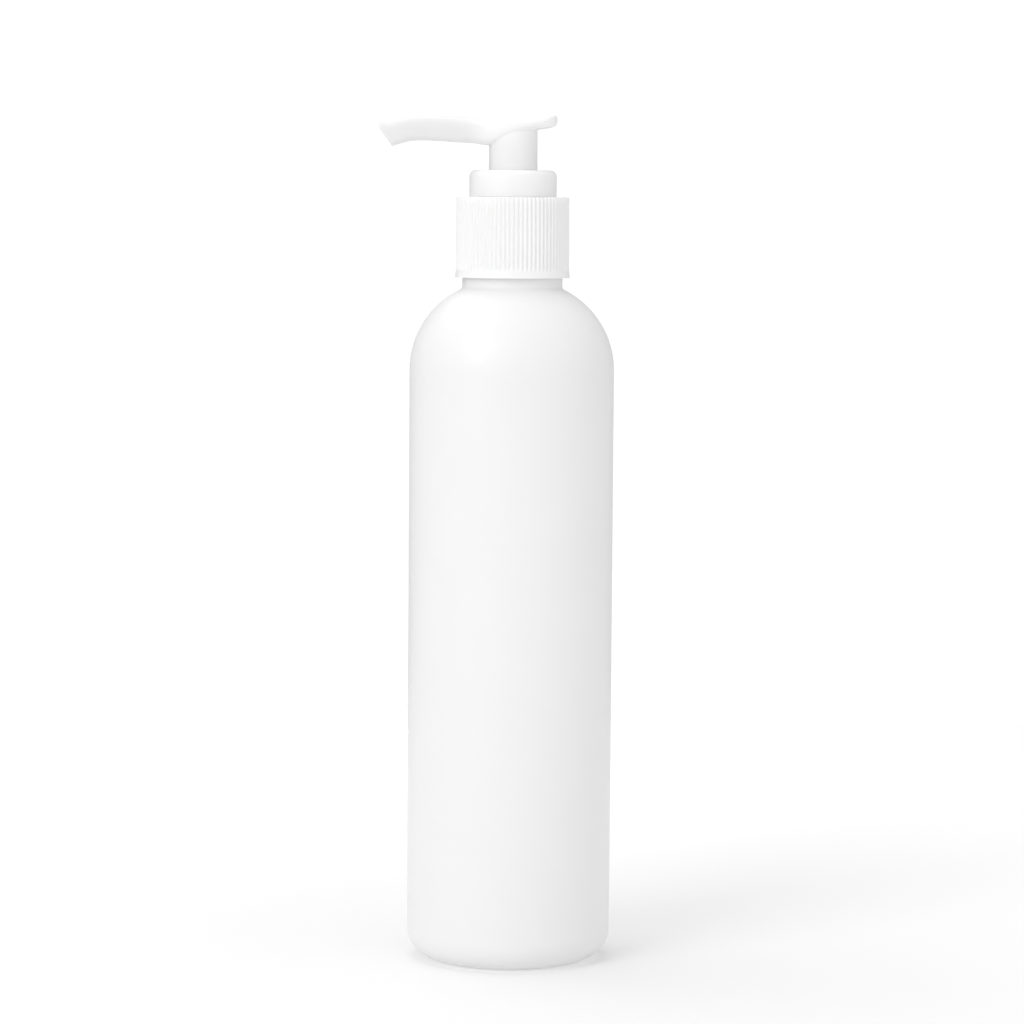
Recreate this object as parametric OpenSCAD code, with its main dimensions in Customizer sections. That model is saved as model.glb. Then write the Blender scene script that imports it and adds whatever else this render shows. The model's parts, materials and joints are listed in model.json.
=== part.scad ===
// Pump bottle for shampoo: a round blow-moulded bottle with a 24 mm screw neck,
// a ribbed closure and a lotion pump with a long curved spout.
// Millimetres. Origin: centre of the base on the resting plane, +Z up, spout towards -X.

/* [Bottle] */
// Outer diameter of the body
body_d = 50; // [46:1:60]
// Height where the straight wall ends and the shoulder starts
wall_top = 145; // [130:1:170]
// Radius of the shoulder's arc
shoulder_r = 22; // [20:0.5:22.5]
// Radius of the rounded corner round the base
base_corner_r = 7; // [4:0.5:8]
// Wall thickness of the body
wall = 1; // [0.8:0.1:1.4]
// How far the base is pushed up inside its standing ring
push_up = 1.5; // [0.5:0.1:3]

/* [Neck finish] */
// Diameter of the plain bead under the thread
bead_d = 24.4; // [24.2:0.1:24.4]
// Height of the plain bead
bead_h = 3.6; // [3:0.1:4]
// Height of the threaded part above the bead
finish_h = 15; // [14.5:0.1:16]
// Root diameter of the thread
thread_root_d = 21.8; // [21.6:0.1:22]
// Crest diameter of the thread
thread_crest_d = 23.9; // [23.6:0.1:24]
// Bore of the neck
neck_bore_d = 18; // [17.8:0.1:18.4]

/* [Closure] */
// Height of the closure
closure_h = 19.6; // [19:0.1:20]
// Diameter over the grip ribs
rib_d = 27.6; // [27.4:0.1:28]
// Depth of the grip ribs
rib_depth = 0.35; // [0.3:0.05:0.5]
// Number of grip ribs
ribs = 80; // [60:1:90]
// Diameter of the plain lip at the lower edge
lip_d = 28.2; // [27.8:0.1:28.6]

/* [Pump] */
// Diameter of the smooth collar
collar_d = 21.3; // [20.6:0.1:23]
// Height of the smooth collar
collar_h = 6.4; // [5.8:0.1:7]
// Travel of the head when pressed
stroke = 5.6; // [4.6:0.1:5.6]
// Outer diameter of the head's skirt
skirt_d = 11.74; // [11.5:0.02:11.9]
// Outer diameter of the dip tube
dip_tube_d = 6; // [5.6:0.1:6]

/* [Hidden] */
$fn = 96;
CUT = 1;
TOUCH = 0.1;

// Bottle levels and radii
body_r = body_d / 2;
bead_r = bead_d / 2;
shoulder_x = body_r - shoulder_r;
shoulder_top = wall_top + sqrt(pow(shoulder_r, 2) - pow(bead_r - shoulder_x, 2));
bead_top = shoulder_top + bead_h;
finish_top = bead_top + finish_h;
neck_bore_r = neck_bore_d / 2;
ring_outer_r = body_r - base_corner_r;
standing_ring_w = 2.2;
ring_step_w = 0.9;
ring_inner_r = ring_outer_r - standing_ring_w;
ring_step_r = ring_inner_r - ring_step_w;

// Thread, eight turns to the inch
pitch = 3.175;
root_r = thread_root_d / 2;
crest_r = thread_crest_d / 2;
turns = 1.5;
thread_base_w = 1.8;
thread_crest_w = 0.8;
thread_drop = 7.7;
thread_z = finish_top - thread_drop;
nut_thread_r = 11.35;
nut_base_w = 1.4;
nut_crest_w = 0.7;
nut_drop = 1.25;
thread_steps = 28;
thread_run_out = 4;

// Closure levels and radii
gasket_t = 1;
flange_t = 1.2;
slip = 0.1;
top_plate_t = 1.4;
plate_z = finish_top + gasket_t + flange_t + slip;
closure_top = plate_z + top_plate_t;
closure_z = closure_top - closure_h;
nut_clearance = 0.15;
nut_bore_r = bead_r + nut_clearance;
rib_crest_r = rib_d / 2;
rib_root_r = rib_crest_r - rib_depth;
lip_h = 1.2;
rib_foot_share = 0.4;
rib_crest_share = 0.18;
rib_top_gap = 0.4;
closure_hole_r = 8.8;

// Pump housing levels and radii
flange_r = 11.3;
gasket_inner_r = 9.1;
flange_z = finish_top + gasket_t;
flange_top = flange_z + flange_t;
tube_r = 8.5;
tube_rise = 3.2;
tube_top = closure_top + tube_rise;
snap_depth = 0.3;
snap_r = tube_r + snap_depth;
snap_h = 0.8;
plug_r = 8.75;
plug_h = 8.3;
plug_taper = 2;
plug_z = flange_top - plug_h;
seat_depth = 4;
seat_step = flange_top - seat_depth;
seat_r = 7.25;
chamber_r = 6.3;
chamber_wall = 1;
chamber_spare = 20.7;
chamber_depth = stroke + chamber_spare;
chamber_floor = flange_top - chamber_depth;
inlet_r = 1.6;
inlet_cone_r = 3.6;
inlet_cone_h = 3;
inlet_h = 4;
socket_top = chamber_floor - inlet_h;
socket_h = 7.5;
socket_wall = 1.2;
cone_wall = 0.5;
vent_r = 0.5;
vent_z = plug_z + vent_r;

// Collar levels and radii
collar_r = collar_d / 2;
collar_z = closure_top + slip;
collar_top = collar_z + collar_h;
collar_round = 1.5;
skirt_clearance = 0.23;
collar_hole_r = skirt_d / 2 + skirt_clearance;
sleeve_r = 7.2;
web_t = 1.2;
web_hole_r = 3.15;

// Stem, plug, piston and balls
press_fit = 0.02;
stem_r = 3;
stem_bore_r = 1.9;
stem_low_r = 4;
valve_r = 2.7;
stem_shoulder = seat_step - 0.4;
valve_top = stem_shoulder - 1;
stem_z = stem_shoulder - 7;
stem_reach = 5.2;
stem_top = collar_top + stem_reach;
notch_w = 0.9;
notch_h = 0.8;
stem_plug_r = valve_r - press_fit;
stem_plug_h = 2.3;
stem_flange_r = 5.2;
stem_flange_t = 1.2;
outlet_r = 1.2;
outlet_cone = 1;
outlet_ball_r = 2;
ball_gap = 0.05;
outlet_ball_z = stem_z + stem_plug_h - outlet_cone - outlet_r + (outlet_ball_r + ball_gap) * sqrt(2);
piston_lift = 0.4;
piston_z = stem_z + piston_lift;
piston_h = 6.4;
piston_hub_wall = 0.8;
piston_web = 1.4;
piston_skin_gap = 0.3;
piston_skin_t = 0.5;
piston_lip_h = 0.2;
piston_lip_t = 0.55;
piston_lip_reach = 1.7;
lip_fit = 0.05;
inlet_ball_r = 2.5;
inlet_slope = atan((inlet_cone_r - inlet_r) / inlet_cone_h);
inlet_apex = chamber_floor - inlet_cone_r / tan(inlet_slope);
inlet_ball_z = inlet_apex + (inlet_ball_r + ball_gap) / sin(inlet_slope);
cage_disc_t = 1.2;
cage_cup_r = 3.5;
cage_bore_r = 2.8;
cage_h = 3.9;
cage_roof_t = 0.8;
cage_slot_w = 1.2;

// Spring
wire_r = 0.35;
coil_r = 4.2;
coils = 6;
coil_steps = 14;
wire_sides = 6;
spring_z = chamber_floor + cage_disc_t;
spring_top = stem_z - stem_flange_t - ball_gap;

// Dip tube
dip_r = dip_tube_d / 2;
socket_fit = 0.01;
tube_socket_r = dip_r + socket_fit;
dip_wall = 0.7;
dip_bore_r = dip_r - dip_wall;
dip_gap = 2;
dip_z = push_up + wall + dip_gap;
dip_angle = 40;

// Head: stations along the spout, each [x, underside, top, half width], heights above the collar
HEAD = [
    [-32.8, 5.0, 11.7, 3.0],
    [-28.7, 5.9, 12.2, 3.0],
    [-24.5, 7.1, 13.0, 3.0],
    [-18.5, 7.0, 13.1, 3.2],
    [-11.0, 6.5, 12.8, 3.9],
    [-5.2, 5.9, 12.5, 5.7],
    [-1.0, 7.1, 12.4, 6.7],
    [4.5, 9.3, 12.2, 6.8],
    [8.2, 10.3, 13.0, 5.3],
    [10.0, 10.9, 13.4, 3.2],
    [10.7, 11.8, 12.8, 1.0]];
head_steps = 3;
head_sides = 20;
head_bulge = 2.5;
tip_cut_x = -29.55;
tip_cut_z = 5.66;
tip_cut_top = 10.26;
tip_block = 18;
tip_angle = atan((HEAD[0][0] - tip_cut_x) / (tip_cut_top - tip_cut_z));
skirt_r = skirt_d / 2;
skirt_wall = 1.02;
skirt_drop = 4.3;
skirt_join = 10.8;
skirt_roof = 6.4;
boss_r = 3.9;
boss_z = collar_top - 2.8;
spout_z = collar_top + 8.9;
spout_bore_r = 1.35;

// Round ring with a square section
module ring(outer, inner, low, high) {
    translate([0, 0, low])
        difference() {
            cylinder(r = outer, h = high - low);
            translate([0, 0, -CUT])
                cylinder(r = inner, h = high - low + 2 * CUT);
        }
}

// Half outline of the bottle's body, shrunk by t for the inside
module body_outline(t, foot) {
    r = body_r - t;
    translate([0, base_corner_r])
        square([r, wall_top - base_corner_r]);
    translate([0, foot])
        square([ring_outer_r, base_corner_r]);
    intersection() {
        translate([ring_outer_r, base_corner_r])
            circle(r = base_corner_r - t);
        translate([0, foot])
            square([body_r, base_corner_r]);
    }
    intersection() {
        translate([shoulder_x, wall_top])
            circle(r = shoulder_r - t);
        translate([0, wall_top - TOUCH])
            square([body_r, shoulder_r + CUT]);
    }
}

// Half outline of the push-up under the base, raised by t for the inside
module push_up_outline(t) {
    polygon([[0, -CUT], [ring_inner_r, -CUT], [ring_inner_r, t], [ring_step_r, t + push_up / 2],
        [0, t + push_up]]);
}

// Screw ridge swept up a helix, with its ends run out to nothing
module helix_ridge(base_r, tip_r, base_w, tip_w, low) {
    count = ceil(turns * thread_steps);
    sink = tip_r > base_r ? -TOUCH : TOUCH;
    function height(i) = max(0.1, min(1, i / thread_run_out, (count - i) / thread_run_out));
    function spot(a, r, z) = [r * cos(a), r * sin(a), z];
    function section(i) =
        let (a = 360 * turns * i / count, z = low + pitch * turns * i / count,
            tip = base_r + (tip_r - base_r) * height(i), b = base_w / 2, t = tip_w / 2,
            loop = [spot(a, base_r + sink, z - b), spot(a, tip, z - t), spot(a, tip, z + t),
                spot(a, base_r + sink, z + b)])
        tip_r < base_r ? loop : [loop[3], loop[2], loop[1], loop[0]];
    sweep([for (i = [0:count]) section(i)]);
}

// Closed solid through a list of rings, whose points turn anticlockwise as seen from the last
module sweep(rings) {
    n = len(rings[0]);
    m = len(rings);
    sides = [for (i = [0:m - 2], j = [0:n - 1])
        let (a = i * n + j, b = i * n + (j + 1) % n, c = a + n, d = b + n)
        each [[a, d, b], [a, c, d]]];
    low_cap = [for (j = [1:n - 2]) [0, j, j + 1]];
    high_cap = [for (j = [1:n - 2]) [(m - 1) * n, (m - 1) * n + j + 1, (m - 1) * n + j]];
    polyhedron(points = [for (r = rings) each r], faces = concat(sides, low_cap, high_cap));
}

// Smooth value between the second and third of four stations
function blend(a, b, c, d, t) =
    0.5 * (2 * b + (c - a) * t + (2 * a - 5 * b + 4 * c - d) * t * t
        + (3 * b - a - 3 * c + d) * t * t * t);

// Station of the head at a place that runs from 0 to the last station
function head_station(s) =
    let (last = len(HEAD) - 1, k = min(floor(s), last - 1))
    blend(HEAD[max(k - 1, 0)], HEAD[k], HEAD[k + 1], HEAD[min(k + 2, last)], s - k);

// Squared oval round one station of the head
function head_ring(s) =
    let (q = head_station(s), mid = (q[1] + q[2]) / 2, half = (q[2] - q[1]) / 2)
    [for (j = [0:head_sides - 1])
        let (a = 360 * j / head_sides, y = cos(a), z = sin(a))
        [q[0], q[3] * sign(y) * pow(abs(y), 2 / head_bulge),
            collar_top + mid + half * sign(z) * pow(abs(z), 2 / head_bulge)]];

module bottle() {
    color("white")
        union() {
            difference() {
                rotate_extrude()
                    difference() {
                        union() {
                            body_outline(0, 0);
                            translate([0, shoulder_top - CUT])
                                square([bead_r, bead_h + CUT]);
                            translate([0, bead_top - CUT])
                                square([root_r, finish_h + CUT]);
                        }
                        push_up_outline(0);
                    }
                rotate_extrude()
                    difference() {
                        body_outline(wall, wall);
                        push_up_outline(wall);
                    }
                translate([0, 0, wall_top])
                    cylinder(r = neck_bore_r, h = finish_top - wall_top + CUT);
            }
            helix_ridge(root_r, crest_r, thread_base_w, thread_crest_w, thread_z);
        }
}

module closure() {
    color("whitesmoke")
        union() {
            difference() {
                union() {
                    ring(rib_root_r, nut_bore_r, closure_z, closure_top);
                    ring(rib_root_r, closure_hole_r, plate_z, closure_top);
                    ring(lip_d / 2, nut_bore_r, closure_z, closure_z + lip_h);
                    grip_ribs();
                }
                translate([0, 0, plate_z - CUT])
                    cylinder(r = closure_hole_r, h = top_plate_t + 2 * CUT);
            }
            helix_ridge(nut_bore_r, nut_thread_r, nut_base_w, nut_crest_w, thread_z - nut_drop);
        }
}

// Toothed ring of the closure's grip ribs
module grip_ribs() {
    step = 360 / ribs;
    function spot(r, a) = [r * cos(a), r * sin(a)];
    foot_r = rib_root_r - TOUCH;
    teeth = [for (i = [0:ribs - 1]) each [spot(foot_r, (i - rib_foot_share) * step),
        spot(rib_crest_r, (i - rib_crest_share) * step),
        spot(rib_crest_r, (i + rib_crest_share) * step),
        spot(foot_r, (i + rib_foot_share) * step)]];
    translate([0, 0, closure_z + lip_h / 2])
        linear_extrude(closure_h - lip_h / 2 - rib_top_gap)
            difference() {
                polygon(teeth);
                circle(r = rib_root_r - rib_depth);
            }
}

module neck_gasket() {
    color("gainsboro")
        ring(flange_r, gasket_inner_r, finish_top, flange_z);
}

module pump_housing() {
    color("white")
        difference() {
            rotate_extrude()
                polygon([[0, socket_top - socket_h], [tube_socket_r + socket_wall, socket_top - socket_h],
                    [tube_socket_r + socket_wall, socket_top + cone_wall],
                    [chamber_r + chamber_wall, chamber_floor - cone_wall],
                    [chamber_r + chamber_wall, plug_z - plug_taper], [plug_r, plug_z], [plug_r, flange_z],
                    [flange_r, flange_z], [flange_r, flange_top], [tube_r, flange_top],
                    [tube_r, tube_top - 2 * snap_h], [snap_r, tube_top - 1.5 * snap_h],
                    [tube_r, tube_top - snap_h], [tube_r, tube_top], [0, tube_top]]);
            translate([0, 0, seat_step])
                cylinder(r = seat_r, h = tube_top - seat_step + CUT);
            translate([0, 0, chamber_floor])
                cylinder(r = chamber_r, h = seat_step - chamber_floor + CUT);
            translate([0, 0, chamber_floor - inlet_cone_h])
                cylinder(r1 = inlet_r, r2 = inlet_cone_r, h = inlet_cone_h);
            translate([0, 0, socket_top - TOUCH])
                cylinder(r = inlet_r, h = chamber_floor - inlet_cone_h - socket_top + 2 * TOUCH);
            translate([0, 0, socket_top - socket_h - CUT])
                cylinder(r = tube_socket_r, h = socket_h + CUT);
            translate([0, 0, vent_z])
                rotate([0, 90, 0])
                    cylinder(r = vent_r, h = plug_r + CUT);
        }
}

module collar() {
    color("white")
        rotate_extrude() {
            difference() {
                union() {
                    translate([collar_hole_r, seat_step])
                        square([sleeve_r - collar_hole_r, collar_top - seat_step]);
                    translate([collar_hole_r, collar_z])
                        square([collar_r - collar_hole_r, collar_h - collar_round]);
                    translate([collar_hole_r, collar_z])
                        square([collar_r - collar_round - collar_hole_r, collar_h]);
                    translate([collar_r - collar_round, collar_top - collar_round])
                        circle(r = collar_round);
                }
                translate([sleeve_r, collar_z - CUT])
                    square([tube_r + TOUCH - sleeve_r, collar_h + CUT - web_t]);
                translate([tube_r, tube_top - 2 * snap_h])
                    polygon([[0, 0], [snap_r - tube_r + ball_gap, snap_h / 2], [0, snap_h]]);
            }
            translate([web_hole_r, seat_step])
                square([sleeve_r - web_hole_r, web_t]);
        }
}

module actuator_head() {
    last = len(HEAD) - 1;
    color("white")
        difference() {
            union() {
                difference() {
                    sweep([for (i = [0:last * head_steps]) head_ring(i / head_steps)]);
                    translate([HEAD[0][0], 0, collar_top + tip_cut_top])
                        rotate([0, tip_angle, 0])
                            translate([-tip_block, -tip_block / 2, -tip_block])
                                cube(tip_block);
                }
                translate([0, 0, collar_top - skirt_drop])
                    cylinder(r = skirt_r, h = skirt_drop + skirt_join);
            }
            difference() {
                translate([0, 0, collar_top - skirt_drop - CUT])
                    cylinder(r = skirt_r - skirt_wall, h = skirt_drop + skirt_roof + CUT);
                translate([0, 0, boss_z])
                    cylinder(r = boss_r, h = skirt_roof + collar_top - boss_z + CUT);
            }
            translate([0, 0, boss_z - CUT])
                cylinder(r = stem_r, h = stem_top - boss_z + CUT);
            translate([0, 0, stem_top - TOUCH])
                cylinder(r = stem_bore_r, h = spout_z - stem_top + TOUCH);
            translate([HEAD[0][0] - CUT, 0, spout_z])
                rotate([0, 90, 0])
                    cylinder(r = spout_bore_r, h = CUT - HEAD[0][0]);
        }
}

module stem() {
    color("white")
        difference() {
            union() {
                translate([0, 0, stem_z])
                    cylinder(r = stem_low_r, h = stem_shoulder - stem_z);
                translate([0, 0, stem_z])
                    cylinder(r = stem_r, h = stem_top - stem_z);
            }
            translate([0, 0, stem_z - CUT])
                cylinder(r = valve_r, h = valve_top - stem_z + CUT);
            translate([0, 0, stem_z])
                cylinder(r = stem_bore_r, h = stem_top - stem_z + CUT);
            for (turn = [0, 90])
                rotate([0, 0, turn])
                    translate([-valve_r, -notch_w / 2, valve_top - TOUCH])
                        cube([2 * valve_r, notch_w, notch_h + TOUCH]);
        }
}

module stem_plug() {
    color("white")
        difference() {
            union() {
                translate([0, 0, stem_z - stem_flange_t])
                    cylinder(r = stem_flange_r, h = stem_flange_t);
                translate([0, 0, stem_z - TOUCH])
                    cylinder(r = stem_plug_r, h = stem_plug_h + TOUCH);
            }
            translate([0, 0, stem_z - stem_flange_t - CUT])
                cylinder(r = outlet_r, h = stem_flange_t + stem_plug_h + 2 * CUT);
            translate([0, 0, stem_z + stem_plug_h - outlet_cone])
                cylinder(r1 = outlet_r, r2 = outlet_r + outlet_cone, h = outlet_cone);
        }
}

module outlet_ball() {
    color("silver")
        translate([0, 0, outlet_ball_z])
            sphere(r = outlet_ball_r);
}

module piston() {
    bore_r = stem_low_r + press_fit;
    hub_r = stem_low_r + piston_hub_wall;
    skin_r = chamber_r - piston_skin_gap;
    lip_r = chamber_r - lip_fit;
    web_low = (piston_h - piston_web) / 2;
    web_high = (piston_h + piston_web) / 2;
    color("ivory")
        translate([0, 0, piston_z])
            rotate_extrude()
                polygon([[bore_r, 0], [hub_r, 0], [hub_r, web_low], [skin_r - piston_skin_t, web_low],
                    [lip_r - piston_lip_t, piston_lip_h], [lip_r, piston_lip_h],
                    [skin_r, piston_lip_reach], [skin_r, piston_h - piston_lip_reach],
                    [lip_r, piston_h - piston_lip_h], [lip_r - piston_lip_t, piston_h - piston_lip_h],
                    [skin_r - piston_skin_t, web_high], [hub_r, web_high], [hub_r, piston_h],
                    [bore_r, piston_h]]);
}

module return_spring() {
    count = coils * coil_steps;
    rise = spring_top - spring_z - 2 * wire_r;
    color("silver")
        sweep([for (i = [0:count])
            let (a = 360 * i / coil_steps, z = spring_z + wire_r + rise * i / count)
            [for (j = [0:wire_sides - 1])
                let (b = -360 * (j + 0.5) / wire_sides, r = coil_r + wire_r * cos(b))
                [r * cos(a), r * sin(a), z + wire_r * sin(b)]]]);
}

module inlet_ball_cage() {
    color("white")
        difference() {
            union() {
                ring(chamber_r - press_fit, cage_bore_r, chamber_floor, chamber_floor + cage_disc_t);
                translate([0, 0, chamber_floor])
                    cylinder(r = cage_cup_r, h = cage_h);
            }
            translate([0, 0, chamber_floor - CUT])
                cylinder(r = cage_bore_r, h = cage_h - cage_roof_t + CUT);
            translate([0, 0, chamber_floor])
                cylinder(r = inlet_r, h = cage_h + CUT);
            for (turn = [0, 90])
                rotate([0, 0, turn])
                    translate([-cage_cup_r - CUT, -cage_slot_w / 2, chamber_floor + cage_disc_t])
                        cube([2 * (cage_cup_r + CUT), cage_slot_w, cage_h - cage_disc_t - cage_roof_t]);
        }
}

module inlet_ball() {
    color("silver")
        translate([0, 0, inlet_ball_z])
            sphere(r = inlet_ball_r);
}

module dip_tube() {
    color("ghostwhite")
        difference() {
            ring(dip_r, dip_bore_r, dip_z, socket_top);
            translate([-dip_r, 0, dip_z])
                rotate([0, dip_angle, 0])
                    translate([0, -2 * dip_r, -4 * dip_r])
                        cube([4 * dip_r, 4 * dip_r, 4 * dip_r]);
        }
}

bottle();
closure();
neck_gasket();
pump_housing();
collar();
actuator_head();
stem();
stem_plug();
outlet_ball();
piston();
return_spring();
inlet_ball_cage();
inlet_ball();
dip_tube();
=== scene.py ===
import json
import math

import bpy
from mathutils import Matrix, Vector


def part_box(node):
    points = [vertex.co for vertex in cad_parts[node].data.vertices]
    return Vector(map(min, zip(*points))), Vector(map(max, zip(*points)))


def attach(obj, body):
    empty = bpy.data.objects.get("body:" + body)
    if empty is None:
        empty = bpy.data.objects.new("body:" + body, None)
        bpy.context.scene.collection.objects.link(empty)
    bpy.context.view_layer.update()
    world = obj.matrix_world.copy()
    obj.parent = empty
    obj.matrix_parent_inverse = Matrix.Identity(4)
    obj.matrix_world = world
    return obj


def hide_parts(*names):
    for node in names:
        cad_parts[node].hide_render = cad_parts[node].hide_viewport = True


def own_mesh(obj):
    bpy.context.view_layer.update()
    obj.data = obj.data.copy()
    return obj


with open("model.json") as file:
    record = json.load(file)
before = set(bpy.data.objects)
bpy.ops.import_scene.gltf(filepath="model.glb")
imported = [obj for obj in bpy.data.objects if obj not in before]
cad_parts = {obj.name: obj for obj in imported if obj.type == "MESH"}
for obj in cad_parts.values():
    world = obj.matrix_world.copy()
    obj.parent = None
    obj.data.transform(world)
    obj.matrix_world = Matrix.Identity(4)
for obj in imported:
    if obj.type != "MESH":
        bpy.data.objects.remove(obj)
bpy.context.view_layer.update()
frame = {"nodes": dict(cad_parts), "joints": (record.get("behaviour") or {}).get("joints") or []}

# ---------------------------------------------------------------- sizes, in metres

BOTTLE_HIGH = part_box("bottle")[1]
CLOSURE_LOW, CLOSURE_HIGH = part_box("closure")
COLLAR_LOW, COLLAR_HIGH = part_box("collar")
HEAD_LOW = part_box("actuator_head")[0]
STEM_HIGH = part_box("stem")[1]
SPRING_LOW, SPRING_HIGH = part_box("return_spring")

# Bottle
BODY_R = BOTTLE_HIGH.x
WALL = 0.001
BASE_CORNER_R = 0.007
STANDING_RING_W = 0.0022
RING_STEP_W = 0.0009
RING_R = BODY_R - BASE_CORNER_R - STANDING_RING_W
DOME_R = RING_R - RING_STEP_W
PUSH_UP = 0.0015
DOME_STEPS = 18
SHOULDER_R = 0.022
BEAD_R = 0.0122
BEAD_H = 0.0036
FINISH_H = 0.015
NECK_TOP = BOTTLE_HIGH.z
BEAD_TOP = NECK_TOP - FINISH_H
SHOULDER_TOP = BEAD_TOP - BEAD_H
SHOULDER_X = BODY_R - SHOULDER_R
WALL_TOP = SHOULDER_TOP - math.sqrt(SHOULDER_R ** 2 - (BEAD_R - SHOULDER_X) ** 2)
NECK_BORE_R = 0.009
NECK_LIP = 0.0003
SOFT_EDGE = 0.0005
PARTING_H = 0.00005
PARTING_W = 0.00016
PINCH_H = 0.0003
PINCH_W = 0.0004
PINCH_REACH = 0.0115

# Screw thread of the neck and the closure
PITCH = 0.003175
TURNS = 1.5
RUN_OUT = 0.08
THREAD_STEPS = 96
THREAD_ROOT_R = 0.0109
THREAD_DEPTH = 0.00105
THREAD_FOOT_W = 0.0018
THREAD_CREST_W = 0.0008
THREAD_Z = NECK_TOP - 0.0077
NUT_BORE_R = BEAD_R + 0.00015
NUT_DEPTH = 0.001
NUT_FOOT_W = 0.0014
NUT_CREST_W = 0.0007
NUT_Z = THREAD_Z - 0.00125

# Closure
RIBS = 80
RIB_TOP_R = 0.01376
RIB_LOW_R = 0.01386
RIB_FLOOR_R = 0.01346
LIP_R = CLOSURE_HIGH.x
LIP_H = 0.0013
RIB_FADE = 0.0014
FADE_STEP = 0.0002
TOP_HOLE_R = 0.0088
TOP_PLATE = 0.0014

# Collar
COLLAR_R = COLLAR_HIGH.x
COLLAR_TOP = COLLAR_HIGH.z
COLLAR_Z = CLOSURE_HIGH.z + 0.00003
COLLAR_HOLE_R = 0.0061
SLEEVE_R = 0.0072
POCKET_R = 0.0086
COLLAR_ROUND_W = 0.0017
COLLAR_ROUND_H = 0.0014
COLLAR_PLATE = 0.0012
WEB = 0.0012
WEB_HOLE_R = 0.00315

# Actuator head
SKIRT_R = 0.00587
SKIRT_FOOT_R = 0.00594
SKIRT_BORE_R = 0.00485
BOSS_R = 0.0039
STEM_R = 0.003
CHANNEL_R = 0.0019
SPOUT_BORE_R = 0.00135
SPOUT_Z = COLLAR_TOP + 0.0089
SKIRT_JOIN = COLLAR_TOP + 0.0108
SKIRT_CONE_TOP = COLLAR_TOP + 0.0100
SKIRT_ROOF = COLLAR_TOP + 0.0064
BOSS_Z = COLLAR_TOP - 0.0028
EDGE_ROUND = 0.00012
BORE_SPARE = 0.001

# Stations along the head: place along X, underside and top above the collar, half width, dish of the
# finger rest, and how far the section has gone from the spout's squared oval (0) to the flat-topped
# hull of the finger rest (1). The spout points towards -X.
STATIONS = [
    (-0.0328, 0.0050, 0.0117, 0.0030, 0.0000, 0.0),
    (-0.0308, 0.0053, 0.0118, 0.0030, 0.0000, 0.0),
    (-0.0287, 0.0059, 0.0122, 0.0030, 0.0000, 0.0),
    (-0.0258, 0.0068, 0.0128, 0.0030, 0.0000, 0.0),
    (-0.0228, 0.0071, 0.0130, 0.0030, 0.0000, 0.0),
    (-0.0184, 0.0070, 0.0131, 0.0031, 0.0000, 0.0),
    (-0.0140, 0.0067, 0.0129, 0.0033, 0.0000, 0.1),
    (-0.0096, 0.0065, 0.0127, 0.0040, 0.0001, 0.3),
    (-0.0062, 0.0060, 0.0125, 0.0052, 0.0003, 0.6),
    (-0.0030, 0.0063, 0.0124, 0.0063, 0.0006, 0.9),
    (0.0005, 0.0077, 0.0124, 0.0068, 0.0008, 1.0),
    (0.0045, 0.0094, 0.0122, 0.0067, 0.0008, 1.0),
    (0.0070, 0.0100, 0.0125, 0.0061, 0.0007, 0.9),
    (0.0087, 0.0103, 0.0131, 0.0051, 0.0004, 0.6),
    (0.0098, 0.0106, 0.0134, 0.0039, 0.0001, 0.3),
    (0.0105, 0.0111, 0.0132, 0.0024, 0.0000, 0.1),
    (0.0107, 0.0118, 0.0126, 0.0008, 0.0000, 0.0),
]
# Powers of the section's curves: the spout's squared oval, and what the finger rest adds to it on top
# and takes from it underneath. The last is how far up the finger rest its widest line moves.
SPOUT_POWER = 3.4
REST_TOP_POWER = 2.2
REST_UNDER_POWER = 1.2
REST_WIDEST = 0.28
TIP_CUT_X = -0.02955
TIP_CUT_Z = COLLAR_TOP + 0.00566
TIP_CUT_TOP = COLLAR_TOP + 0.01026

# Spring
WIRE_R = 0.00035
COIL_R = 0.0042
COILS = 6

# How far light wanders inside the white polymers
MILK_DEPTH = 0.003

# Studio
CAMERA_PLACE = (0.0003, -0.900, 0.1873)
CAMERA_DOWN = 4.9
CAMERA_ROLL = 0.4
CAMERA_LENS = 129.2

# Light of the room: an even part and soft lobes, each a direction and a strength.
ROOM_LEVEL = 0.23
ROOM_LOBES = [((0.0, -0.98, 0.2), 0.35), ((0.85, -0.5, 0.15), 0.50), ((0.0, 0.0, 1.0), 0.54),
              ((-0.97, -0.2, 0.1), 0.32), ((0.8, 0.55, 0.2), 0.32)]
FLOOR_R = 0.45
# Painted light of the floor: its glow next to the bottle (a painted shadow round it), towards its rim, and
# right under the bottle (a painted light on the base's edge).
FLOOR_PAINTED_GLOW = 0.13
FLOOR_RIM_PAINTED_GLOW = 0.22
UNDER_BOTTLE_PAINTED_LIGHT = 0.28
SEEN_WHITE = 1.05


# ---------------------------------------------------------------- node building

class Wire:
    """One output socket. Arithmetic on it adds Math nodes to its tree."""

    def __init__(self, net, socket):
        self.net = net
        self.socket = socket

    def pick(self, key):
        return Wire(self.net, find(self.socket.node.outputs, key))

    def math(self, operation, *others):
        values = dict(enumerate((self,) + others))
        return self.net.add("ShaderNodeMath", {"operation": operation}, values)

    def __add__(self, other):
        return self.math("ADD", other)

    def __radd__(self, other):
        return self.math("ADD", other)

    def __sub__(self, other):
        return self.math("SUBTRACT", other)

    def __rsub__(self, other):
        return (self * -1.0).math("ADD", other)

    def __mul__(self, other):
        return self.math("MULTIPLY", other)

    def __rmul__(self, other):
        return self.math("MULTIPLY", other)

    def __truediv__(self, other):
        return self.math("DIVIDE", other)

    def clamped(self, low=0.0, high=1.0):
        return self.math("MAXIMUM", low).math("MINIMUM", high)

    def ramp(self, start, end, shape="SMOOTHSTEP"):
        """0 before start and 1 after end."""
        return self.net.add("ShaderNodeMapRange", {"interpolation_type": shape},
                            {"Value": self, "From Min": start, "From Max": end})


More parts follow.
